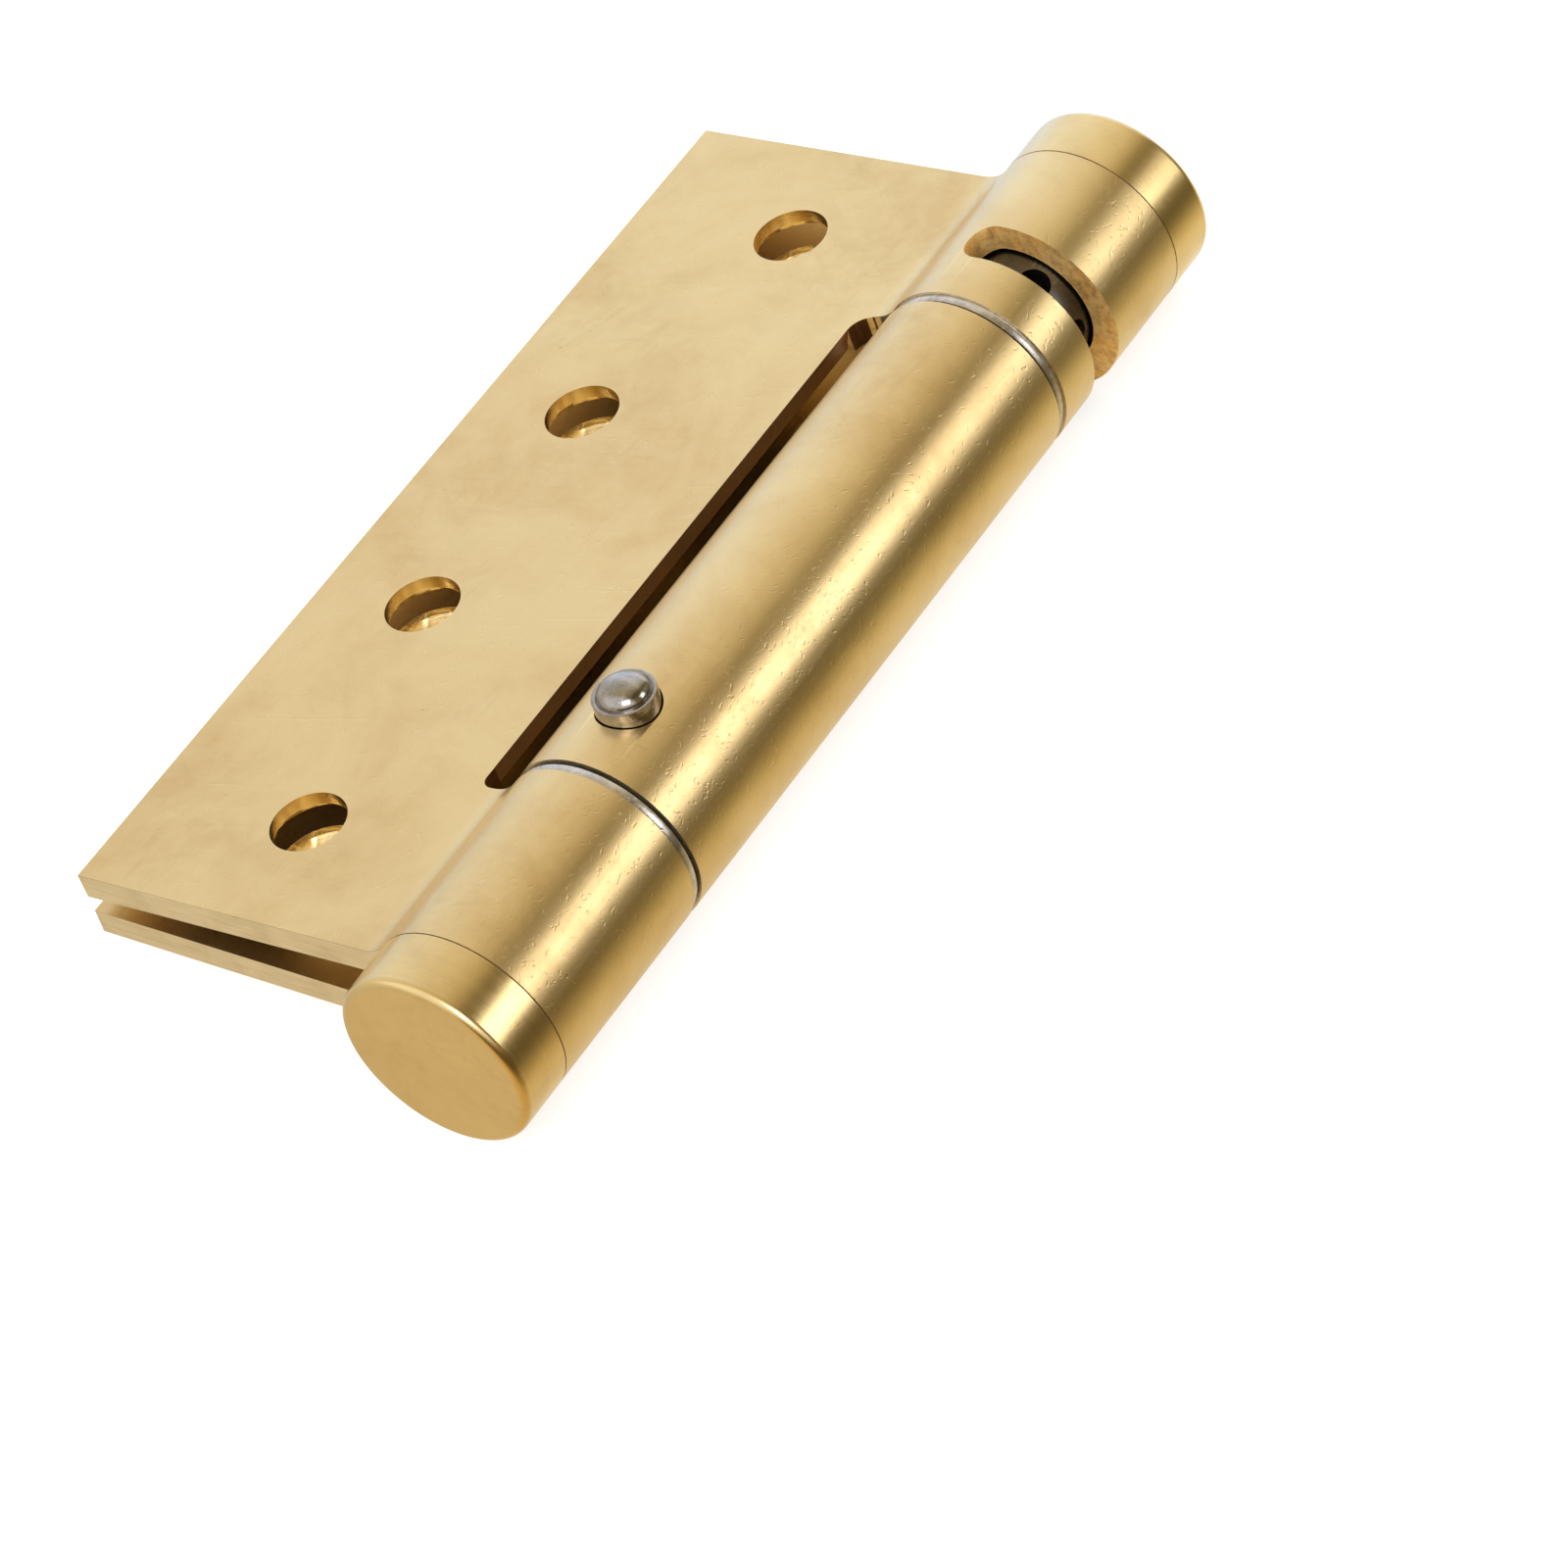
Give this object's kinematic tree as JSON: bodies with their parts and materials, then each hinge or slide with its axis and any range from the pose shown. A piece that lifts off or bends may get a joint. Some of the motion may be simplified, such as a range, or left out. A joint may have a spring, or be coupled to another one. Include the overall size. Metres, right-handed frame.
{
  "type": "spring hinge",
  "caption": "Adjustable door spring hinge in satin brass, folded shut, with rolled knuckles, end caps, an open window over the slotted tension drum and a domed anchor stud.",
  "frame": {"origin": "middle of the barrel, on the pivot axis", "axes": "+Y along the barrel towards the end with the tension drum, -Z out of the screw face of the leaf with the centre knuckle, both leaves pointing towards -X when folded"},
  "size_m": [0.0515, 0.114, 0.0212],
  "materials": {
    "leaf_brass": "satin, lightly brushed",
    "cap_brass": "turned satin",
    "washer_steel": "bright, finely turned",
    "bush_bronze": "plain sintered",
    "inner_steel": "plain turned, oiled",
    "spring_steel": "dark oil-tempered",
    "stud_chrome": "polished dome",
    "drum_steel": "turned"
  },
  "bodies": {
    "centre_leaf": {"centre_knuckle_leaf": "leaf_brass", "spring_anchor": "inner_steel", "anchor_stud": "stud_chrome", "torsion_spring": "spring_steel", "drum_neck_bush": "bush_bronze"},
    "end_leaf": {"end_knuckle_leaf": "leaf_brass", "plain_end_cap": "cap_brass", "drum_end_cap": "cap_brass", "plain_thrust_washer": "washer_steel", "drum_thrust_washer": "washer_steel", "plain_bush": "bush_bronze", "spindle": "inner_steel", "plain_end_clip": "spring_steel", "drum_end_clip": "spring_steel", "plain_end_washer": "inner_steel", "drum_end_washer": "inner_steel"},
    "drum": {"tension_drum": "drum_steel"}
  },
  "joints": [
    {"name": "leaf_swing", "type": "hinge", "parent": "centre_leaf", "child": "end_leaf", "pos_m": [0, 0, 0], "axis": [0, 1, 0], "range_deg": [0, 183.4], "stiffness_Nm_per_rad": 0.74, "deforming": ["torsion_spring"]},
    {"name": "drum_turn", "type": "hinge", "parent": "end_leaf", "child": "drum", "pos_m": [0, 0.0383, 0], "axis": [0, 1, 0], "range_deg": [0, 240]}
  ]
}
